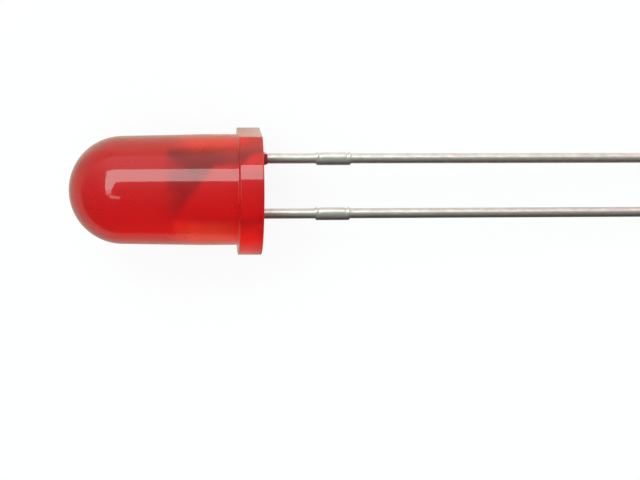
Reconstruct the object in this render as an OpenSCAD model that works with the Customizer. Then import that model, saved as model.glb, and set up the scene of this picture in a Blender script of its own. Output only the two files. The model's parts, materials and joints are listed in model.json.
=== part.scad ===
// Through-hole LED with a 5 mm round lens, lying loose on a flat surface.
// Each sub-part is drawn upright: the lens's axis is Z, the flange's base is at z = 0, the dome
// points up, the leads point down and the cathode is on +X. laid() then lays the whole LED down.

/* [Lens] */
// Diameter of the barrel beside the flange
barrel_d = 5.0; // [4.6:0.1:6.4]
// Height of the lens from the flange's base to the tip of the dome
lens_h = 8.6; // [7.6:0.1:11]
// Length of the straight stretch of the barrel beside the flange
land_len = 1.5; // [0.6:0.1:2.5]
// Draft of the barrel above the straight stretch, in degrees a side
draft = 1.2; // [0.2:0.1:2]
// Thickness of the flange
flange_t = 1.05; // [0.8:0.1:1.6]
// How far the flange stands out of the barrel
flange_rim = 0.45; // [0.3:0.05:0.8]
// How far the flange's flat stands out of the barrel, on the cathode's side
flat_rim = 0.12; // [0.05:0.01:0.25]
// Break of the flange's two round edges
edge_break = 0.05; // [0.02:0.01:0.1]
// How far the epoxy collar round a lead spreads past the lead's faces, where it meets the base
collar_foot = 0.12; // [0.08:0.01:0.25]
// How far the same collar stands out of the lead's faces at its tip
collar_lip = 0.02; // [0.01:0.01:0.06]
// Length of the collar on the cathode lead
cathode_collar = 0.28; // [0.1:0.02:0.8]
// Length of the collar on the anode lead
anode_collar = 0.12; // [0.1:0.02:0.8]

/* [Leads] */
// Side of the square leads, which is also the thickness of the lead frame's sheet
lead_side = 0.45; // [0.36:0.01:0.6]
// Distance between the centres of the two leads
pitch = 2.54; // [2.3:0.02:2.8]
// Length of the cathode lead below the flange's base
cathode_len = 27.0; // [12:0.5:30]
// How much longer the anode lead is
anode_extra = 1.5; // [0:0.1:3]
// Offset of the lead frame from the lens's axis, towards the flat
frame_shift = 0.15; // [0:0.01:0.25]
// Distance from the flange's base to the stubs that the frame's cut tie bar left
stub_gap = 2.5; // [1.5:0.1:5]
// Length of a stub along its lead
stub_len = 1.55; // [0.5:0.05:3]
// How far a stub stands out of the lead towards the anode's side
stub_anode_side = 0.08; // [0.02:0.01:0.2]
// How far a stub stands out of the lead towards the cathode's side
stub_cathode_side = 0.04; // [0.02:0.01:0.2]

/* [Posts inside the lens] */
// Height above the base at which the cathode's lead jogs inwards to its post
shoulder_z = 0.5; // [0.2:0.05:0.8]
// Distance from the frame's centre line to the outer edge of the cathode's post
post_out = 1.15; // [1.05:0.01:1.3]
// Distance from the frame's centre line to the inner edge of the cathode's post
post_in = 0.7; // [0.65:0.01:0.9]
// Bevel of the posts' outer top corners
post_bevel = 0.15; // [0.05:0.01:0.2]
// Height above the base at which the slanted edge of the cup's head leaves the cathode's post
head_z = 2.15; // [1.6:0.05:2.6]
// Height of the head's far edge, beside the anode's post
head_h = 0.45; // [0.3:0.05:0.7]
// Gap between the head and the anode's post
post_gap = 0.1; // [0.08:0.01:0.14]

/* [Reflector cup] */
// Height of the cup's rim above the flange's base
cup_rim_z = 4.2; // [3.9:0.05:5]
// Outer height of the cup
cup_h = 0.8; // [0.6:0.05:1.2]
// Depth of the cup's hollow
cup_depth = 0.42; // [0.3:0.02:0.5]
// Clearance from the die attach to the wall of the hollow, at the hollow's floor
floor_gap = 0.03; // [0.01:0.01:0.08]
// How much wider the hollow is at the rim than at its floor, a side
cup_flare = 0.26; // [0.1:0.02:0.35]
// Wall of the cup at its rim
rim_wall = 0.1; // [0.06:0.01:0.15]
// Wall of the cup at its foot
foot_wall = 0.16; // [0.1:0.01:0.2]

/* [Die and bond wire] */
// Side of the square die
die_side = 0.3; // [0.2:0.01:0.36]
// Height of the die
die_h = 0.2; // [0.1:0.01:0.26]
// Thickness of the conductive epoxy under the die
attach_t = 0.03; // [0.02:0.01:0.05]
// How far the epoxy spreads past the die's corners
attach_rim = 0.02; // [0.01:0.01:0.05]
// Diameter of the bond wire
wire_d = 0.036; // [0.03:0.002:0.06]
// Diameter of the bonds at both ends of the wire
bond_d = 0.1; // [0.08:0.01:0.14]
// Height of these bonds
bond_h = 0.04; // [0.02:0.01:0.06]
// Rise of the wire's loop above the bonds
wire_rise = 0.42; // [0.35:0.01:0.6]

/* [Hidden] */
$fn = 96;
CUT = 1;              // how far a cutting tool runs past what it cuts
WIRE_SIDES = 8;       // sides of the bond wire's section
WIRE_STEP = 15;       // degrees of the loop between two rings of the wire

// Lens
barrel_r = barrel_d / 2;
flange_r = barrel_r + flange_rim;
flat_x = barrel_r + flat_rim;
land_top = flange_t + land_len;
// The dome is a sphere that meets the drafted barrel without a corner.
dome_r = (barrel_r - (lens_h - land_top) * tan(draft)) * cos(draft) / (1 - sin(draft));
dome_z = lens_h - dome_r;
join_z = dome_z + dome_r * sin(draft);
join_r = dome_r * cos(draft);

// Leads and posts, measured from the frame's centre line
lead_in = (pitch - lead_side) / 2;
lead_out = (pitch + lead_side) / 2;
anode_len = cathode_len + anode_extra;

// Reflector cup, die and wire
attach_r = die_side * sqrt(2) / 2 + attach_rim;
hollow_floor_r = attach_r + floor_gap;
hollow_rim_r = hollow_floor_r + cup_flare;
cup_r = hollow_rim_r + rim_wall;
cup_foot_r = hollow_floor_r + foot_wall;
cup_foot_z = cup_rim_z - cup_h;
hollow_z = cup_rim_z - cup_depth;
die_z = hollow_z + attach_t;
bond_z = die_z + die_h;         // the die's top, level with the top of the anode's post
bond_x = (post_bevel - pitch) / 2;

// Rest pose. The flange's edge and the tips of both leads touch the surface, so the axis slopes
// down towards the leads, and the longer anode lead rolls the cathode's side down.
function roll_of(slope) = asin(anode_extra * slope / pitch);
function slope_of(turn) =
    (flange_r - lead_side / 2 * (sin(turn) + cos(turn)))
    / (cathode_len + edge_break + (pitch / 2 + frame_shift) * anode_extra / pitch);
slope = slope_of(roll_of(slope_of(0)));
tilt = atan(slope);
roll = roll_of(slope);
base_h = flange_r * cos(tilt) - edge_break * sin(tilt);

// The origin is on the surface, at the centre of the box round the LED.
tip_lift = (pitch / 2 - frame_shift) * sin(roll) + lead_side / 2 * (sin(roll) + cos(roll));
x_high = anode_len * cos(tilt) + tip_lift * sin(tilt);
x_low = -dome_z * cos(tilt) - dome_r;
y_high = flange_r * cos(acos(flat_x / flange_r) - roll);
y_low = -flange_r;
rest_at = [-(x_low + x_high) / 2, -(y_low + y_high) / 2, base_h];

module laid()
    translate(rest_at) rotate([0, tilt - 90, 0]) rotate([0, 0, 90 + roll]) children();

// A flat stamping of the lead frame's sheet, from an outline drawn in X and Z
module stamping(outline)
    rotate([90, 0, 0]) linear_extrude(lead_side, center = true) polygon(outline);

// The stub on a lead whose centre is at x, where the tie bar was cut away
module tie_bar_stub(x)
    translate([x - lead_side / 2 - stub_anode_side, -lead_side / 2, -stub_gap - stub_len])
        cube([lead_side + stub_anode_side + stub_cathode_side, lead_side, stub_len]);

module reflector_cup()
    translate([0, 0, cup_foot_z]) cylinder(r1 = cup_foot_r, r2 = cup_r, h = cup_h);

module cup_hollow() {
    rise = (hollow_rim_r - hollow_floor_r) / cup_depth;
    translate([0, 0, hollow_z])
        cylinder(r1 = hollow_floor_r, r2 = hollow_rim_r + rise * CUT, h = cup_depth + CUT);
}

module cathode_form()
    translate([frame_shift, 0, 0]) difference() {
        union() {
            stamping([
                [lead_in, -cathode_len], [lead_out, -cathode_len],
                [lead_out, shoulder_z], [post_out, shoulder_z + lead_out - post_out],
                [post_out, cup_rim_z - post_bevel], [post_out - post_bevel, cup_rim_z],
                [post_gap - lead_in, cup_rim_z], [post_gap - lead_in, cup_rim_z - head_h],
                [post_in, head_z],
                [post_in, shoulder_z + lead_in - post_in], [lead_in, shoulder_z],
            ]);
            tie_bar_stub(pitch / 2);
            reflector_cup();
        }
        cup_hollow();
    }

module anode_form()
    translate([frame_shift, 0, 0]) {
        stamping([
            [-lead_in, -anode_len], [-lead_out, -anode_len],
            [-lead_out, bond_z - post_bevel], [-lead_out + post_bevel, bond_z],
            [-lead_in, bond_z],
        ]);
        tie_bar_stub(-pitch / 2);
    }

module die_attach_form()
    translate([frame_shift, 0, hollow_z])
        rotate([0, 0, 22.5]) cylinder(r = attach_r / cos(22.5), h = attach_t, $fn = 8);

module die_form()
    translate([frame_shift - die_side / 2, -die_side / 2, die_z])
        cube([die_side, die_side, die_h]);

// One ring of the wire's surface: its centre, the lean of its plane and its radius
function wire_ring(x, z, lean, r) = [
    for (i = [0:WIRE_SIDES - 1]) let (a = i * 360 / WIRE_SIDES)
        [x + r * cos(a) * cos(lean), r * sin(a), z + r * cos(a) * sin(lean)]
];

// The wire rises from the die, loops over the cup's rim and comes down on the anode's post.
module wire_form() {
    span = -bond_x / 2;
    foot_z = bond_z + bond_h;
    rings = concat(
        [wire_ring(0, bond_z, 0, bond_d / 2), wire_ring(0, foot_z, 0, bond_d / 2)],
        [for (t = [0:WIRE_STEP:180])
            wire_ring(span * (cos(t) - 1), foot_z + (wire_rise - bond_h) * sin(t),
                atan2(span * sin(t), (wire_rise - bond_h) * cos(t)), wire_d / 2)],
        [wire_ring(bond_x, foot_z, 180, bond_d / 2), wire_ring(bond_x, bond_z, 180, bond_d / 2)]
    );
    last = len(rings) - 1;
    sides = [
        for (k = [0:last - 1], i = [0:WIRE_SIDES - 1])
            let (j = (i + 1) % WIRE_SIDES)
            [k * WIRE_SIDES + i, (k + 1) * WIRE_SIDES + i,
             (k + 1) * WIRE_SIDES + j, k * WIRE_SIDES + j]
    ];
    first_end = [for (i = [0:WIRE_SIDES - 1]) i];
    last_end = [for (i = [WIRE_SIDES - 1:-1:0]) last * WIRE_SIDES + i];
    translate([frame_shift, 0, 0])
        polyhedron([for (ring = rings) each ring], concat(sides, [first_end, last_end]));
}

// The moulded outside of the lens: flange, straight land, drafted barrel and dome
module moulded_form() {
    difference() {
        rotate_extrude() polygon([
            [0, 0], [flange_r - edge_break, 0], [flange_r, edge_break],
            [flange_r, flange_t - edge_break], [flange_r - edge_break, flange_t],
            [barrel_r, flange_t], [barrel_r, land_top], [join_r, join_z], [0, join_z],
        ]);
        translate([flat_x, -flange_r - CUT, -CUT])
            cube([flange_r, 2 * (flange_r + CUT), flange_t + 2 * CUT]);
    }
    intersection() {
        translate([0, 0, dome_z]) sphere(r = dome_r);
        translate([-barrel_r, -barrel_r, join_z]) cube([barrel_d, barrel_d, lens_h]);
    }
}

// The square collar of epoxy that climbs a lead whose centre is at x, from the frame's centre line
module collar(x, length)
    translate([frame_shift + x, 0, -length]) rotate([0, 0, 45])
        cylinder(r1 = (lead_side / 2 + collar_lip) * sqrt(2),
            r2 = (lead_side / 2 + collar_foot) * sqrt(2), h = length, $fn = 4);

module lens()
    color([0.82, 0.12, 0.14, 0.8]) laid() difference() {
        union() {
            moulded_form();
            collar(pitch / 2, cathode_collar);
            collar(-pitch / 2, anode_collar);
        }
        cathode_form();
        anode_form();
        die_attach_form();
        die_form();
        wire_form();
    }

module cathode_lead() color([0.66, 0.64, 0.61]) laid() cathode_form();

module anode_lead() color([0.66, 0.64, 0.61]) laid() anode_form();

module die() color([0.25, 0.06, 0.07]) laid() die_form();

module die_attach() color([0.75, 0.75, 0.74]) laid() die_attach_form();

module bond_wire() color([0.9, 0.7, 0.3]) laid() wire_form();

lens();
cathode_lead();
anode_lead();
die();
die_attach();
bond_wire();
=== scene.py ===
"""A 5 mm red through-hole LED lying on a pale studio floor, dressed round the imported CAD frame.

Shapes are worked out in millimetres in the LED's own upright frame, as in the part's source: the
lens's axis is Z, the flange's base is at z = 0, the dome points up and the cathode is on +X.
Each finished piece then goes to the row's frame, in metres, where the LED lies down: the dome is
on -X, the leads are on +X and the cathode is on +Y.
"""
import json
import math

import bmesh
import bpy
from mathutils import Matrix, Vector


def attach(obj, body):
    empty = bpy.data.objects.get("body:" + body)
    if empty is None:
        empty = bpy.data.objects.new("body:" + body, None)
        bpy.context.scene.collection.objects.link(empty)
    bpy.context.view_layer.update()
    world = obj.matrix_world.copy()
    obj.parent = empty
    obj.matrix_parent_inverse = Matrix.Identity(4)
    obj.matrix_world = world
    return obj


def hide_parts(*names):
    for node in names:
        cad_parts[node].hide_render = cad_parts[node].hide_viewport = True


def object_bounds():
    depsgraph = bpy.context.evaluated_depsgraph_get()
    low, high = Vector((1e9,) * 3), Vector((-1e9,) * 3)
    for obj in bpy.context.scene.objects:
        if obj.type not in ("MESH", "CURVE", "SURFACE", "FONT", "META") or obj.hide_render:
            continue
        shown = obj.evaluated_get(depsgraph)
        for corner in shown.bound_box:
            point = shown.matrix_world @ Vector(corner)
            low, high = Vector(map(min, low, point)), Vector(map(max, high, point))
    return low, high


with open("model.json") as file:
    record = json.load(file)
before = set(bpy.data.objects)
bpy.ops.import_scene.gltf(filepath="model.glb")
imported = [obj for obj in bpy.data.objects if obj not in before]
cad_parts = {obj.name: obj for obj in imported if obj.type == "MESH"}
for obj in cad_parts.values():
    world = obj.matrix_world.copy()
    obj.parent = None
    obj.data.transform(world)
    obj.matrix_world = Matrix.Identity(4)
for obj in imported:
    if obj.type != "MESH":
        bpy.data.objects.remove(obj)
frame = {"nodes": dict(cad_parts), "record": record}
cad_box = [list(corner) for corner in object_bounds()]

MM = 0.001

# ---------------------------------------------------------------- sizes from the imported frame

mounts = {m["name"]: m for m in frame["record"]["mounts"]}


def place_of(name):
    return Vector(mounts[name]["pos_m"])


seat = place_of("seating_plane")
dome_axis = -Vector(mounts["seating_plane"]["axis"]).normalized()
across = (place_of("cathode_terminal") - place_of("anode_terminal")).normalized()
underside = dome_axis.cross(across)
UPRIGHT_TO_ROW = Matrix.Translation(seat) @ Matrix(
    (across, underside, dome_axis)).transposed().to_4x4() @ Matrix.Scale(MM, 4)
ROW_TO_UPRIGHT = UPRIGHT_TO_ROW.inverted()


def upright_bounds(node):
    """Lowest and highest corner of a CAD node in the LED's upright frame, in millimetres."""
    points = [ROW_TO_UPRIGHT @ v.co for v in frame["nodes"][node].data.vertices]
    return [tuple(pick(p[i] for p in points) for i in range(3)) for pick in (min, max)]


lens_low, lens_high = upright_bounds("lens")
cathode_low, cathode_high = upright_bounds("cathode_lead")
anode_low, anode_high = upright_bounds("anode_lead")

LENS_H = lens_high[2]
BARREL_R = mounts["barrel"]["dims"]["r_mm"]
LAND_LEN = mounts["barrel"]["dims"]["length_mm"]
FLANGE_T = (place_of("flange_front") - seat).length / MM
FLANGE_R = -lens_low[0]
FLAT_X = lens_high[0]
PITCH = (place_of("cathode_terminal") - place_of("anode_terminal")).length / MM
CATHODE_X = (place_of("cathode_terminal") - seat).dot(across) / MM
ANODE_X = CATHODE_X - PITCH
CENTRE_X = CATHODE_X - PITCH / 2
LEAD = anode_high[1] * 2
LEAD_IN = (PITCH - LEAD) / 2      # from the centre line to a lead's inner side
LEAD_OUT = (PITCH + LEAD) / 2     # and to its outer side
CUP_RIM_Z = cathode_high[2]
BOND_Z = anode_high[2]

# Sizes that the frame doesn't state, as in the part's source
DRAFT = math.radians(1.2)
STUB_GAP = 2.5
STUB_LEN = 1.55
STUB_ANODE_SIDE = 0.08
STUB_CATHODE_SIDE = 0.04
SHOULDER_Z = 0.5
POST_OUT = 1.15
POST_IN = 0.7
POST_BEVEL = 0.15
HEAD_Z = 2.15
HEAD_H = 0.45
POST_GAP = 0.1
CUP_H = 0.8
CUP_FOOT_R = 0.422
CUP_R = 0.622
HOLLOW_FLOOR_R = 0.262
HOLLOW_RIM_R = 0.522
CUP_DEPTH = 0.42

# ---------------------------------------------------------------- mesh helpers

SMOOTH_ANGLE = 35         # degrees: a sharper edge isn't shaded smooth
LENS_SMOOTH_ANGLE = 30


def add_piece(name, bm, material, replaced, smooth_angle=SMOOTH_ANGLE):
    """Turns a bmesh in upright millimetres into a piece in the row's frame, inside the CAD box."""
    bmesh.ops.recalc_face_normals(bm, faces=bm.faces)
    mesh = bpy.data.meshes.new(name)
    bm.to_mesh(mesh)
    bm.free()
    mesh.transform(UPRIGHT_TO_ROW)
    for v in mesh.vertices:
        v.co = [min(max(c, low), high) for c, low, high in zip(v.co, *cad_box)]
    mesh.materials.append(material)
    mesh.shade_smooth()
    mesh.set_sharp_from_angle(angle=math.radians(smooth_angle))
    piece = bpy.data.objects.new(name, mesh)
    bpy.context.scene.collection.objects.link(piece)
    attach(piece, "root")
    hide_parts(replaced)


def add_staged(name, points, faces, material):
    """Adds a piece of the studio, in metres, that isn't part of the object."""
    mesh = bpy.data.meshes.new(name)
    mesh.from_pydata(points, [], faces)
    mesh.materials.append(material)
    staged = bpy.data.objects.new(name, mesh)
    bpy.context.scene.collection.objects.link(staged)


def bridge(bm, rings):
    """Skins a list of rings of vertices, each with the same number, and caps both ends."""
    for below, above in zip(rings, rings[1:]):
        count = len(below)
        for i in range(count):
            j = (i + 1) % count
            bm.faces.new((below[i], below[j], above[j], above[i]))
    bm.faces.new(list(reversed(rings[0])))
    bm.faces.new(rings[-1])


def arc(centre_r, centre_z, radius, start, end, steps):
    """Points (r, z) on an arc, from start to end in degrees."""
    angles = [math.radians(start + (end - start) * k / steps) for k in range(steps + 1)]
    return [(centre_r + radius * math.cos(a), centre_z + radius * math.sin(a)) for a in angles]


def ease(value):
    """0 up to 0, 1 from 1, and a smooth step between them."""
    value = min(max(value, 0.0), 1.0)
    return value * value * (3 - 2 * value)


# ---------------------------------------------------------------- lens

LENS_STEPS = 256          # steps round the lens
FINE_TURN = 0.4           # degrees from one extra step to the next, where the collars are
FINE_TURNS = 45           # extra steps on each side of a lead
ROUNDING_STEPS = 5
LAND_STEPS = 4            # up the part of the barrel without draft
DRAFTED_STEPS = 8
DOME_STEPS = 60
DOME_TOP = 89             # degrees: the dome's last ring, which a small flat face closes
EDGE_R = 0.04             # rounding of the flange's edges
FOOT_FILLET = 0.06        # fillet where the barrel meets the flange
FLAT_SHADED = 0.015       # from a rounding to the extra ring that keeps its shading off the sides
COLLAR_FOOT = 0.12        # spread of the epoxy that climbs the leads, at the base
COLLAR_CURVE = 1.7        # 1 is a straight slope and a higher value is more hollow
CATHODE_COLLAR = 0.28     # how far down its lead the collar reaches
ANODE_COLLAR = 0.12
# Radii of the base's rings, which are close together where the collars are
BASE_RINGS = (0.1, 0.35, 0.6, *(0.7 + 0.02 * k for k in range(60)), 2.05, 2.3, 2.6, 2.8)


def collar_depth(x, y):
    """How far the epoxy hangs below the base at (x, y), where it climbs the leads."""
    depth = 0.0
    for lead_x, length in ((CATHODE_X, CATHODE_COLLAR), (ANODE_X, ANODE_COLLAR)):
        reach = math.hypot(max(abs(x - lead_x) - LEAD / 2, 0), max(abs(y) - LEAD / 2, 0))
        depth = max(depth, length * max(1 - reach / COLLAR_FOOT, 0.0) ** COLLAR_CURVE)
    return depth


def lens_profile():
    """The lens's outline from the base's edge to the tip, as two lists of points.

    The flange's points are (r, z, inset from its side), because its flat is rounded in the same
    way, and the points above the flange are (r, z). The dome is a sphere that meets the drafted
    barrel without a crease.
    """
    land_top = FLANGE_T + LAND_LEN
    dome_r = ((BARREL_R - (LENS_H - land_top) * math.tan(DRAFT))
              * math.cos(DRAFT) / (1 - math.sin(DRAFT)))
    side = [*arc(FLANGE_R - EDGE_R, EDGE_R, EDGE_R, -90, 0, ROUNDING_STEPS),
            (FLANGE_R, EDGE_R + FLAT_SHADED), (FLANGE_R, FLANGE_T - EDGE_R - FLAT_SHADED),
            *arc(FLANGE_R - EDGE_R, FLANGE_T - EDGE_R, EDGE_R, 0, 90, ROUNDING_STEPS)]
    foot = arc(BARREL_R + FOOT_FILLET, FLANGE_T + FOOT_FILLET, FOOT_FILLET, -90, -180,
               ROUNDING_STEPS)
    land = [(BARREL_R, FLANGE_T + FOOT_FILLET + FLAT_SHADED)]
    land += [(BARREL_R, FLANGE_T + FOOT_FILLET + (LAND_LEN - FOOT_FILLET) * k / LAND_STEPS)
             for k in range(1, LAND_STEPS + 1)]
    dome = arc(0, LENS_H - dome_r, dome_r, math.degrees(DRAFT), DOME_TOP, DOME_STEPS)
    dome_foot = dome[0]
    drafted = [(BARREL_R + (dome_foot[0] - BARREL_R) * k / DRAFTED_STEPS,
                land_top + (dome_foot[1] - land_top) * k / DRAFTED_STEPS)
               for k in range(1, DRAFTED_STEPS)]
    return [(r, z, FLANGE_R - r) for r, z in side], [*foot, *land, *drafted, *dome]


def build_lens(material):
    bm = bmesh.new()
    flat_corner = math.degrees(math.acos(FLAT_X / FLANGE_R))
    turns = [360 * k / LENS_STEPS for k in range(LENS_STEPS)] + [flat_corner, -flat_corner]
    turns += [lead + FINE_TURN * k for lead in (0, 180)
              for k in range(-FINE_TURNS, FINE_TURNS + 1)]
    angles = sorted(set(round(math.radians(turn % 360), 5) for turn in turns))

    def ring(r, z, flat):
        return [bm.verts.new((min(r * math.cos(a), flat), r * math.sin(a), z)) for a in angles]

    base = [ring(r, 0.0, FLAT_X - EDGE_R) for r in BASE_RINGS]
    for around in base:
        for vertex in around:
            vertex.co.z = -collar_depth(vertex.co.x, vertex.co.y)
    flange, above = lens_profile()
    bridge(bm, base + [ring(r, z, FLAT_X - inset) for r, z, inset in flange]
           + [ring(r, z, FLAT_X) for r, z in above])
    add_piece("lens_casting", bm, material, "lens", LENS_SMOOTH_ANGLE)


# ---------------------------------------------------------------- leads

SECTION_STEPS = 48        # points round a lead
SECTION_POWER = 2.4       # 2 is round and a high value is square
STUB_POWER = 2.5          # the same at the tie bar's stub
TUCK = 0.35               # how far the crowned lead runs on inside the lens
STATION = 0.5             # from one ring of a lead to the next
FINE_STATION = 0.02       # the same round the stub's ends
FINE_STATIONS = 14        # on each side of a stub's end
STUB_RAMP = 0.08          # length of the step at each end of the stub
BURR = 0.018              # height of the burrs beside the cut tie bar
BURR_IN = 0.02            # from the stub's end
NICK = 0.03               # depth of the nicks beside the burrs
NICK_IN = 0.15
BURR_LEN = 0.06           # of burrs and nicks
END_TAPER = 0.03          # rounding of a lead's sheared end
END_LEN = 0.06
STAMPING_Z = 0.15         # where the frame's sheet starts inside the lens
STAMPING_ROUND = 0.03     # rounding of its edges
CUP_STEPS = 72            # steps round the cup
CUP_POLE = 0.02           # radius of the small flat faces that close the cup's foot and floor
CUP_FOOT_BEVEL = 0.05
CUP_LIP = 0.03            # rounding of the cup's rim
LIP_LEAN = 0.01
HOLLOW_CORNER = (0.03, 0.02)
HOLLOW_WALL = 0.06        # from the hollow to the sheet round it
HOLLOW_FLOOR = 0.04       # from the hollow to the sheet under it


def lead_section(x_low, x_high, half_y, power):
    """Points round a crowned square section, anticlockwise."""
    centre, half_x = (x_low + x_high) / 2, (x_high - x_low) / 2
    points = []
    for k in range(SECTION_STEPS):
        turn = 2 * math.pi * k / SECTION_STEPS
        c, s = math.cos(turn), math.sin(turn)
        points.append((centre + half_x * math.copysign(abs(c) ** (2 / power), c),
                       half_y * math.copysign(abs(s) ** (2 / power), s)))
    return points


def build_lead_outside(bm, x, length):
    """The square lead below the base, with its tie bar stub and sheared end."""
    stub_top, stub_end = -STUB_GAP, -STUB_GAP - STUB_LEN
    stations = [-length, -length + END_LEN / 3, -length + END_LEN, TUCK]
    stations += [STATION * k - length for k in range(1, int((length + TUCK) / STATION))]
    stations += [edge + FINE_STATION * k for edge in (stub_top, stub_end)
                 for k in range(-FINE_STATIONS, FINE_STATIONS + 1)]

    def swell(z, inside):
        """A smooth bump of height 1, centred that far inside each end of the stub."""
        return sum(math.exp(-((z - middle) / BURR_LEN) ** 2)
                   for middle in (stub_top - inside, stub_end + inside))

    rings = []
    for z in sorted(set(round(s, 5) for s in stations)):
        on_stub = ease((stub_top - z) / STUB_RAMP + 0.5) * ease((z - stub_end) / STUB_RAMP + 0.5)
        half = LEAD / 2 - END_TAPER * (1 - ease((z + length) / END_LEN))
        worn = BURR * swell(z, BURR_IN) - NICK * swell(z, NICK_IN)
        section = lead_section(x - half - STUB_ANODE_SIDE * on_stub,
                               x + half + STUB_CATHODE_SIDE * on_stub + worn, half,
                               SECTION_POWER + (STUB_POWER - SECTION_POWER) * on_stub)
        rings.append([bm.verts.new((px, py, z)) for px, py in section])
    bridge(bm, rings)


def build_stamping(bm, outline):
    """A flat stamping from an outline in X and Z, with slightly rounded edges."""
    half = LEAD / 2
    fronts = [bm.verts.new((px, -half, pz)) for px, pz in outline]
    backs = [bm.verts.new((px, half, pz)) for px, pz in outline]
    before = set(bm.edges)
    bridge(bm, [fronts, backs])
    edges = [e for e in bm.edges if e not in before]
    bmesh.ops.bevel(bm, geom=edges, offset=STAMPING_ROUND, segments=3, profile=0.5,
                    affect="EDGES")


def build_cup(bm):
    """The reflector cup: outside, rim and hollow, turned round the frame's centre line."""
    foot_z = CUP_RIM_Z - CUP_H
    floor_z = CUP_RIM_Z - CUP_DEPTH
    lip_z = CUP_RIM_Z - CUP_LIP
    corner_r, corner_z = HOLLOW_CORNER
    profile = [(CUP_POLE, foot_z), (CUP_FOOT_R - CUP_FOOT_BEVEL, foot_z),
               (CUP_FOOT_R, foot_z + CUP_FOOT_BEVEL), (CUP_R - LIP_LEAN, lip_z),
               (CUP_R - CUP_LIP, CUP_RIM_Z), (HOLLOW_RIM_R + CUP_LIP / 2, CUP_RIM_Z),
               (HOLLOW_RIM_R - LIP_LEAN, lip_z), (HOLLOW_FLOOR_R + corner_r, floor_z + corner_z),
               (HOLLOW_FLOOR_R, floor_z), (CUP_POLE, floor_z)]
    turns = [2 * math.pi * k / CUP_STEPS for k in range(CUP_STEPS)]
    bridge(bm, [[bm.verts.new((CENTRE_X + r * math.cos(a), r * math.sin(a), z)) for a in turns]
                for r, z in profile])


def build_cathode(material):
    """The lead, and inside the lens its post with the slanted head round the reflector cup."""
    bm = bmesh.new()
    build_lead_outside(bm, CATHODE_X, -cathode_low[2])
    head_far = POST_GAP - LEAD_IN
    under_hollow = CUP_RIM_Z - CUP_DEPTH - HOLLOW_FLOOR
    build_stamping(bm, [(CENTRE_X + px, pz) for px, pz in (
        (LEAD_IN, STAMPING_Z), (LEAD_OUT, STAMPING_Z), (LEAD_OUT, SHOULDER_Z),
        (POST_OUT, SHOULDER_Z + LEAD_OUT - POST_OUT), (POST_OUT, CUP_RIM_Z - POST_BEVEL),
        (POST_OUT - POST_BEVEL, CUP_RIM_Z), (HOLLOW_RIM_R + HOLLOW_WALL, CUP_RIM_Z),
        (HOLLOW_FLOOR_R + HOLLOW_WALL, under_hollow),
        (-HOLLOW_FLOOR_R - HOLLOW_WALL, under_hollow),
        (-HOLLOW_RIM_R - HOLLOW_WALL, CUP_RIM_Z), (head_far, CUP_RIM_Z),
        (head_far, CUP_RIM_Z - HEAD_H), (POST_IN, HEAD_Z),
        (POST_IN, SHOULDER_Z + LEAD_IN - POST_IN), (LEAD_IN, SHOULDER_Z))])
    build_cup(bm)
    add_piece("cathode_lead_tinned", bm, material, "cathode_lead")


def build_anode(material):
    """The lead, and inside the lens its post, whose top is bevelled on the outer side."""
    bm = bmesh.new()
    build_lead_outside(bm, ANODE_X, -anode_low[2])
    build_stamping(bm, [(CENTRE_X - px, pz) for px, pz in (
        (LEAD_IN, STAMPING_Z), (LEAD_OUT, STAMPING_Z), (LEAD_OUT, BOND_Z - POST_BEVEL),
        (LEAD_OUT - POST_BEVEL, BOND_Z), (LEAD_IN, BOND_Z))])
    add_piece("anode_lead_tinned", bm, material, "anode_lead")


# ---------------------------------------------------------------- node helpers


class Nodes:
    """Short ways to add nodes to the tree of a material or a world."""

    def __init__(self, tree):
        self.tree = tree

    def feed(self, target, value):
        """Links a socket to target, or sets target to a plain value."""
        if isinstance(value, bpy.types.NodeSocket):
            self.tree.links.new(value, target)
        elif target.type == "RGBA":
            target.default_value = (*value, 1)
        else:
            target.default_value = value

    def add(self, kind, inputs=None, **settings):
        node = self.tree.nodes.new("ShaderNode" + kind)
        for name, value in settings.items():
            setattr(node, name, value)
        for name, value in (inputs or {}).items():
            self.feed(node.inputs[name], value)
        return node

    def maths(self, operation, *values):
        return self.add("Math", dict(enumerate(values)), operation=operation).outputs[0]

    def span(self, value, low, high, out_low, out_high):
        """Maps low to high onto out_low to out_high, and stops at both."""
        return self.add("MapRange", {"Value": value, "From Min": low, "From Max": high,
                                     "To Min": out_low, "To Max": out_high}).outputs[0]

    def mix(self, factor, first, second):
        """The first colour where factor is 0, and the second where it is 1."""
        return self.add("Mix", {"Factor": factor, "A": first, "B": second},
                        data_type="RGBA").outputs["Result"]

    def seen_by(self, *rays):
        """1 for the named kinds of ray and 0 for the rest."""
        path = self.add("LightPath")
        total, *others = [path.outputs[f"Is {ray} Ray"] for ray in rays]
        for other in others:
            total = self.maths("MAXIMUM", total, other)
        return total

    def graded(self, value, steps, tint):
        """Tinted greys, where each step is a value from 0 to 1 and its grey."""
        ramp = self.add("ValToRGB", {0: value})
        elements = ramp.color_ramp.elements
        while len(elements) < len(steps):
            elements.new(0.5)
        for stop, (position, grey) in zip(elements, steps):
            stop.position = position
            stop.color = (*(grey * part for part in tint), 1)
        return ramp.outputs[0]


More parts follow.
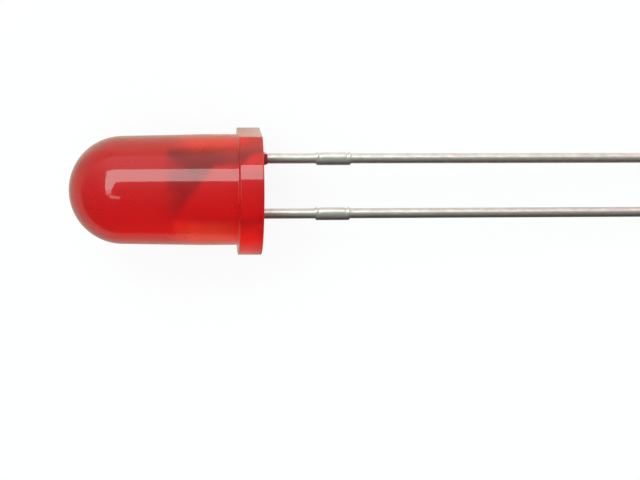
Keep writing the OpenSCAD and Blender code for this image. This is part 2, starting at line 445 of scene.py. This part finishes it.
class Paint(Nodes):
    """A Principled material whose nodes work with places on the object."""

    def __init__(self, name):
        self.material = bpy.data.materials.new(name)
        self.material.use_nodes = True
        super().__init__(self.material.node_tree)
        self.shader = self.tree.nodes["Principled BSDF"]
        self.output = self.tree.nodes["Material Output"]
        self.place = self.add("TexCoord").outputs["Object"]

    def set(self, **values):
        """Feeds the shader's sockets, whose names have _ for a space here."""
        for name, value in values.items():
            self.feed(self.shader.inputs[name.replace("_", " ")], value)

    def show(self, shader):
        """Puts another shader in the place of the Principled one."""
        self.feed(self.output.inputs["Surface"], shader.outputs[0])
        self.tree.nodes.remove(self.shader)

    def noise(self, scale, detail=3.0, roughness=0.5):
        """Noise from 0 to 1, where scale is its fineness a millimetre along X, Y and Z."""
        stretched = self.add("Mapping", {"Scale": [fineness / MM for fineness in scale],
                                         "Vector": self.place})
        return self.add("TexNoise", {"Scale": 1, "Detail": detail, "Roughness": roughness,
                                     "Vector": stretched.outputs[0]}).outputs["Fac"]

    def along(self, axis, low, high, origin=seat):
        """0 to 1 between two distances, in millimetres, from origin along axis."""
        distance = self.add("VectorMath", {0: self.place, 1: axis}, operation="DOT_PRODUCT")
        start = origin.dot(axis)
        return self.span(distance.outputs["Value"], start + low * MM, start + high * MM, 0, 1)

    def below(self, low, high):
        """1 below the lower of two heights above the base, and 0 above the higher one."""
        return self.along(-dome_axis, -high, -low)

    def bump(self, height, distance, strength):
        self.set(Normal=self.add("Bump", {"Distance": distance * MM, "Strength": strength,
                                          "Height": height}).outputs[0])


# ---------------------------------------------------------------- materials

# The epoxy's tints, with painted light and shade. The low ones belong to the half of the lens that
# is nearer
# the base: as the LED lies, painted shade on its upper side and painted light on its underside. The
# anode's side is lighter as painted light, and the pale ones are painted glow at that half's two
# edges.
EPOXY_BODY = ((0.66, 0.049, 0.075), (0.62, 0.041, 0.069))
EPOXY_LOW_PAINTED_SHADE = (0.48, 0.036, 0.06)
EPOXY_LOW_PAINTED_LIGHT = (1.0, 0.044, 0.062)
EPOXY_ANODE_PAINTED_LIGHT = (0.84, 0.05, 0.05)
EPOXY_ANODE_PAINTED_GLOW = (1.0, 0.28, 0.13)
EPOXY_FLANGE_PAINTED_GLOW = (1.0, 0.1, 0.08)
EPOXY_CATHODE_PAINTED_GLOW = (0.96, 0.1, 0.05)
EPOXY_DEPTH_TINT = (0.99, 0.24, 0.1)
EPOXY_DENSITY = 560       # of its absorption, a metre

TIN = ((0.68, 0.59, 0.555), (0.89, 0.8, 0.765))
ANODE_PLATE = ((0.92, 0.9, 0.87), (0.98, 0.96, 0.94))
# The cathode's plating is shaded in its colour: its plate colour is painted light, and its dimmer
# head and dark post are painted shade
CATHODE_PLATE_PAINTED_LIGHT = (0.96, 0.94, 0.91)
CATHODE_HEAD_PAINTED_SHADE = (0.82, 0.81, 0.8)
CATHODE_POST_PAINTED_SHADE = (0.48, 0.47, 0.49)
# Directions away from the slanted edge of the cathode's head, and away from its post, that place the
# painted light on the head's top
FROM_SLANT = across * 0.697 + dome_axis * 0.717
FROM_POST = dome_axis * 0.507 - across * 0.86

# The small CAD nodes that stay: material, two colours, roughness, metallic and noise's fineness
SMALL_NODES = {
    "die": ("die_crystal", (0.10, 0.02, 0.02), (0.16, 0.04, 0.03), 0.2, 0.0, 9.0),
    "die_attach": ("silver_epoxy", (0.55, 0.55, 0.54), (0.7, 0.7, 0.68), 0.5, 0.8, 40.0),
    "bond_wire": ("gold_wire", (0.9, 0.62, 0.2), (0.95, 0.7, 0.3), 0.2, 1.0, 12.0),
}


def epoxy_material():
    """Red tinted epoxy with an uneven sheen, and painted light, shade and glow in its colour."""
    paint = Paint("tinted_epoxy")
    paint.set(IOR=1.52, Transmission_Weight=0.93, Coat_Weight=1.0, Coat_Roughness=0.02,
              Specular_Tint=(0.15, 0.15, 0.15))
    cloud = paint.noise((0.5, 0.8, 0.8))
    lower_half = paint.below(3.1, 4.2)
    painted_light_anode_side = paint.along(-across, 0.9, 1.9)
    painted_glow_edges = paint.maths("MAXIMUM", paint.along(across, 1.2, 2.2), painted_light_anode_side)
    # Painted shade on the upper side and painted light on the underside of the half nearer the base,
    # and painted light on the anode's side
    low = paint.mix(paint.along(underside, 0.2, 1.2), EPOXY_LOW_PAINTED_SHADE, EPOXY_LOW_PAINTED_LIGHT)
    body = paint.mix(lower_half, paint.mix(cloud, *EPOXY_BODY), low)
    body = paint.mix(painted_light_anode_side, body, EPOXY_ANODE_PAINTED_LIGHT)
    # Painted glow at both edges of that half, redder in the flange on the anode's side
    painted_glow_anode = paint.mix(paint.below(1.0, 1.6), EPOXY_ANODE_PAINTED_GLOW, EPOXY_FLANGE_PAINTED_GLOW)
    pale = paint.mix(paint.along(across, -1, 1), painted_glow_anode, EPOXY_CATHODE_PAINTED_GLOW)
    paint.set(Base_Color=paint.mix(paint.maths("MULTIPLY", painted_glow_edges, lower_half), body, pale),
              Roughness=paint.span(cloud, 0.3, 0.7, 0.26, 0.33))
    absorb = paint.add("VolumeAbsorption", {"Color": EPOXY_DEPTH_TINT, "Density": EPOXY_DENSITY})
    paint.feed(paint.output.inputs["Volume"], absorb.outputs[0])
    return paint.material


def anode_plate(paint):
    """Silver plating that is duller in patches."""
    patches = paint.span(paint.noise((1.1, 1.6, 1.6), 2.0), 0.38, 0.62, 0, 1)
    return paint.mix(patches, *ANODE_PLATE)


def cathode_painted_plate(paint):
    """Silver plating shaded in its colour: painted light at the head's top and at the foot, and
    painted shade between them.
    """
    head_top_painted_light = paint.maths("MULTIPLY", paint.along(FROM_SLANT, 2.48, 2.9),
                           paint.along(FROM_POST, 1.03, 1.13))
    root_painted_shade = paint.maths("MULTIPLY", paint.below(0.8, 1.3),
                                  paint.along(-across, -1.4, -1.2))
    # foot is painted light low on the cathode, less beside the root's inner side; dimmer is painted
    # shade, darkest on the post
    foot = paint.maths("SUBTRACT", paint.below(0.6, 2.3), root_painted_shade)
    dimmer = paint.mix(paint.along(across, 0.6, 0.8), CATHODE_HEAD_PAINTED_SHADE, CATHODE_POST_PAINTED_SHADE)
    painted_light_mask = paint.span(paint.maths("MAXIMUM", head_top_painted_light, foot), 0, 1, 0, 0.8)
    return paint.mix(painted_light_mask, dimmer, CATHODE_PLATE_PAINTED_LIGHT)


def lead_material(name, plate):
    """Hot-dipped tin with soft mottling and fine drawn lines, and silver plating inside the lens,
    which on the cathode carries painted light and shade.
    """
    paint = Paint(name)
    mottle = paint.noise((2.0, 3.5, 3.5), 4.0, 0.6)
    lines = paint.noise((0.4, 22.0, 22.0), 2.0)
    both = paint.maths("ADD", paint.maths("MULTIPLY", mottle, 0.65),
                       paint.maths("MULTIPLY", lines, 0.35))
    tin = paint.mix(paint.span(both, 0.35, 0.65, 0, 1), *TIN)
    in_lens = paint.along(dome_axis, -0.05, 0.05)
    paint.set(Base_Color=paint.mix(in_lens, tin, plate(paint)), Metallic=1.0,
              Roughness=paint.span(mottle, 0.3, 0.7, 0.48, 0.4))
    paint.bump(both, 0.009, 0.8)
    return paint.material


def speckled(name, first, second, roughness, metallic, fineness):
    paint = Paint(name)
    paint.set(Base_Color=paint.mix(paint.noise((fineness, fineness, fineness)), first, second),
              Metallic=metallic, Roughness=roughness)
    return paint.material


# ---------------------------------------------------------------- floor, light and camera

WHITE = (1.0, 1.0, 1.0)
row_origin = Vector((0, 0, 0))
to_leads = Vector((1, 0, 0))
to_cathode = Vector((0, 1, 0))

FLOOR_HALF = 0.6          # metres from the floor's middle to its side
PAPER = (0.96, 0.96, 0.96)
GLOW_SHARE = 0.88         # of the floor, to the camera and in reflections; the rest is paper
# What the leads mirror of the floor, from 8 mm on the anode's side to 8 mm on the cathode's side
BESIDE_LEADS = ((0, 0.04), (0.3, 0.05), (0.44, 0.25), (0.56, 0.95), (1, 1.1))
BESIDE_LEADS_TINT = (1.0, 0.98, 0.94)
# What the lens mirrors of it: on the anode's side and the cathode's side, and beyond the dome
BESIDE_LENS = ((0.28, 0.26, 0.2), (0.68, 0.63, 0.48))
BEYOND_DOME = (0.4, 0.36, 0.28)


def build_floor():
    """A floor that is plain white through the lens, and white with a faint soft shadow to the
    camera, where its share of paper shows the shadow. It is plain paper to diffuse light, and in
    reflections it is pale on the cathode's side and dark on the anode's side.
    """
    paint = Paint("studio_floor")
    beside_lens = paint.mix(paint.along(to_cathode, -9, 3, row_origin), *BESIDE_LENS)
    beside_leads = paint.graded(paint.along(to_cathode, -8, 8, row_origin), BESIDE_LEADS,
                                BESIDE_LEADS_TINT)
    mirrored = paint.mix(paint.along(to_leads, -1, 1), beside_lens, beside_leads)
    mirrored = paint.mix(paint.along(-to_leads, 10.5, 13), mirrored, BEYOND_DOME)
    direct = paint.seen_by("Camera", "Transmission")
    glow = paint.add("Emission", {"Color": paint.mix(direct, mirrored, WHITE)})
    paper = paint.add("BsdfDiffuse", {"Color": PAPER})
    share = paint.maths("MAXIMUM", paint.seen_by("Transmission"), paint.maths(
        "MULTIPLY", paint.seen_by("Camera", "Glossy"), GLOW_SHARE))
    paint.show(paint.add("MixShader", {0: share, 1: paper.outputs[0], 2: glow.outputs[0]}))
    corners = [(x * FLOOR_HALF, y * FLOOR_HALF, cad_box[0][2])
               for x, y in ((-1, -1), (1, -1), (1, 1), (-1, 1))]
    add_staged("studio_floor", corners, [(0, 1, 2, 3)], paint.material)


ROOM = (0.75, 0.75, 0.75)         # plain level of the room
# What metal and the lens mirror of the room, from the anode's side to the cathode's side
ROOM_STEPS = ((0, 0.035), (0.1, 0.04), (0.25, 0.065), (0.43, 0.14), (0.6, 0.25), (0.79, 0.5),
              (0.93, 0.88), (1, 1.1))
ROOM_TINT = (1.1, 0.94, 0.9)


def build_world():
    """A room that is white to the camera and through the lens, plain to diffuse light, and dark
    on the anode's side in reflections.
    """
    world = bpy.data.worlds.new("studio")
    bpy.context.scene.world = world
    world.use_nodes = True
    world.node_tree.nodes.clear()
    nodes = Nodes(world.node_tree)
    direction = nodes.add("SeparateXYZ", {0: nodes.add("TexCoord").outputs["Generated"]})
    level = nodes.maths("MULTIPLY_ADD", direction.outputs["Y"], 0.5, 0.5)
    colour = nodes.graded(level, ROOM_STEPS, ROOM_TINT)
    colour = nodes.mix(nodes.seen_by("Diffuse"), colour, ROOM)
    colour = nodes.mix(nodes.seen_by("Camera", "Transmission"), colour, WHITE)
    room = nodes.add("Background", {"Color": colour})
    nodes.add("OutputWorld", {"Surface": room.outputs[0]})


PANEL_DISTANCE = 300 * MM
PANEL_GLOW = 5.2
PANEL_LENS_COLOUR = (0.64, 0.98, 0.94)
PANEL_LEADS_COLOUR = (0.28, 0.205, 0.18)
# The panel's corners as angles to the camera's right and towards its top, seen from the lens:
# one wide bar, a narrow leg down its left end, and a short streak apart from them
PANEL_BAR = ((-34, 41.6), (22, 41.6), (22, 15.6), (2, 15.6))
PANEL_LEG = ((-7, 14), (-12.5, 9.5), (-16, 2), (-19.5, -11), (-30, -15))
PANEL_STREAK = ((-24, -12), (0, -15.5), (-2, -21), (-23, -20))
LENS_MIDDLE = 4 * MM              # above the base


def build_panel():
    """The light panel that the lens shows as its long highlight, dimmer towards its bottom and
    where the leads mirror it.
    """
    turn = bpy.context.scene.camera.rotation_euler.to_matrix()
    right, top, back = (turn @ Vector(axis) for axis in ((1, 0, 0), (0, 1, 0), (0, 0, 1)))
    lens_middle = seat + dome_axis * LENS_MIDDLE
    paint = Paint("softbox")
    over_leads = paint.along(right, 56, 64, lens_middle)
    upper = paint.along(top, -60, 10, lens_middle)
    paint.show(paint.add("Emission", {
        "Color": paint.mix(over_leads, PANEL_LENS_COLOUR, PANEL_LEADS_COLOUR),
        "Strength": paint.span(upper, 0, 1, PANEL_GLOW / 2, PANEL_GLOW)}))
    corners = [lens_middle + (right * math.tan(math.radians(x)) + top * math.tan(math.radians(y))
                              + back) * PANEL_DISTANCE
               for x, y in PANEL_BAR + PANEL_LEG + PANEL_STREAK]
    bar = len(PANEL_BAR + PANEL_LEG)
    add_staged("softbox", corners, [range(bar), range(bar, len(corners))], paint.material)


CAMERA_TURN = (-15.96, 0.31, 1.12)    # degrees about X, Y and Z, from straight down
CAMERA_DISTANCE = 73.02 * MM
AIM_FROM_SEAT = (2.725 * MM, -2.321 * MM, 0)
FOCAL_LENGTH = 90
SENSOR_WIDTH = 36
NEAREST = 0.001                       # metres from the camera to the nearest thing that it sees
FARTHEST = 10                         # and to the farthest


def build_camera():
    data = bpy.data.cameras.new("camera")
    data.lens = FOCAL_LENGTH
    data.sensor_width = SENSOR_WIDTH
    data.clip_start = NEAREST
    data.clip_end = FARTHEST
    camera = bpy.data.objects.new("camera", data)
    bpy.context.scene.collection.objects.link(camera)
    camera.rotation_euler = [math.radians(turn) for turn in CAMERA_TURN]
    back = camera.rotation_euler.to_matrix() @ Vector((0, 0, 1))
    camera.location = seat + Vector(AIM_FROM_SEAT) + back * CAMERA_DISTANCE
    bpy.context.scene.camera = camera


# ---------------------------------------------------------------- the whole scene

bpy.context.scene.view_settings.view_transform = "Standard"
build_camera()
build_floor()
build_world()
build_panel()

build_lens(epoxy_material())
build_cathode(lead_material("cathode_metal", cathode_painted_plate))
build_anode(lead_material("anode_metal", anode_plate))
for node, recipe in SMALL_NODES.items():
    frame["nodes"][node].data.materials.clear()
    frame["nodes"][node].data.materials.append(speckled(*recipe))
